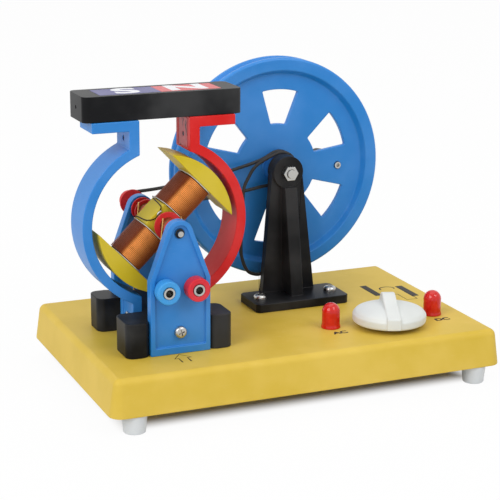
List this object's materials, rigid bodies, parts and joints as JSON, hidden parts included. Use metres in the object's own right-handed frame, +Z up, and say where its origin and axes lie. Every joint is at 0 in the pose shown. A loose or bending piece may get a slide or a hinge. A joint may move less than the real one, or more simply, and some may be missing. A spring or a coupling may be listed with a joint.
{
  "type": "hand-cranked demonstration dynamo",
  "caption": "Hand-cranked demonstration dynamo: a wound armature turns between pole arms under a bar magnet, belt-driven from a spoked wheel, with sockets, lamps and a selector.",
  "frame": {"origin": "on the floor below the middle of the part's length and depth", "axes": "+X along the base from the magnet to the lamps, +Y from the front to the wheel, +Z up"},
  "size_m": [0.227, 0.1494, 0.1699],
  "materials": {
    "yellow_plastic": "smooth satin moulding",
    "blue_plastic": "semi-gloss moulding",
    "red_plastic": "semi-gloss moulding",
    "black_plastic": "satin moulding",
    "white_plastic": "satin moulding",
    "bright_steel": "plated",
    "iron": "rolled strip",
    "brass": "drawn",
    "copper_wire": "enamelled wire",
    "magnet": "sintered",
    "lamp_red": "clear tinted resin",
    "label_blue": "printed film",
    "label_red": "printed film",
    "belt_rubber": "extruded cord"
  },
  "bodies": {
    "root": {"base_tray": "yellow_plastic", "feet": "white_plastic", "foot_screws": "bright_steel", "plinth": "black_plastic", "plinth_screws": "bright_steel", "front_bearing_stand": "blue_plastic", "rear_bearing_stand": "blue_plastic", "stand_screws": "bright_steel", "pole_south": "blue_plastic", "pole_north": "red_plastic", "iron_south": "iron", "iron_north": "iron", "pole_screws": "bright_steel", "strip_rivets": "iron", "magnet_case": "black_plastic", "bar_magnet": "magnet", "label_south": "label_blue", "label_north": "label_red", "socket_collar_blue": "blue_plastic", "socket_collar_red": "red_plastic", "socket_sleeves": "bright_steel", "socket_nuts": "brass", "commutator_brushes": "brass", "slip_ring_brushes": "brass", "ac_lamp": "lamp_red", "dc_lamp": "lamp_red", "lamp_leads": "bright_steel", "selector_switch": "black_plastic", "switch_nut": "bright_steel", "wheel_stand": "black_plastic", "wheel_stand_screws": "bright_steel", "wheel_axle": "bright_steel", "axle_nut": "bright_steel", "drive_belt": "belt_rubber"},
    "armature": {"armature_shaft": "bright_steel", "coil_former": "yellow_plastic", "coil_core_upper": "copper_wire", "coil_core_lower": "copper_wire", "winding_upper": "copper_wire", "winding_lower": "copper_wire", "commutator_spool": "red_plastic", "commutator_segments": "brass", "slip_ring_spool": "red_plastic", "slip_rings": "brass", "drive_pulley": "red_plastic"},
    "wheel": {"drive_wheel": "blue_plastic", "handle_spindle": "bright_steel"},
    "handle": {"handle_grip": "black_plastic"},
    "selector": {"selector_knob": "white_plastic", "selector_shaft": "bright_steel"}
  },
  "joints": [
    {"name": "wheel_spin", "type": "hinge", "parent": "root", "child": "wheel", "pos_m": [0.028, 0.04695, 0.1054], "axis": [0, 1, 0], "continuous": true},
    {"name": "armature_spin", "type": "hinge", "parent": "root", "child": "armature", "pos_m": [-0.0655, -0.01255, 0.0951], "axis": [0, 1, 0], "continuous": true},
    {"name": "handle_spin", "type": "hinge", "parent": "wheel", "child": "handle", "pos_m": [0.06795, 0.06145, 0.10331], "axis": [0, 1, 0], "continuous": true},
    {"name": "selector_turn", "type": "hinge", "parent": "root", "child": "selector", "pos_m": [0.059, -0.04255, 0.0334], "axis": [0, 0, 1], "range_deg": [-25, 65]}
  ],
  "couplings": [
    {"joint": "armature_spin", "follows": "wheel_spin", "ratio": 12.5}
  ]
}
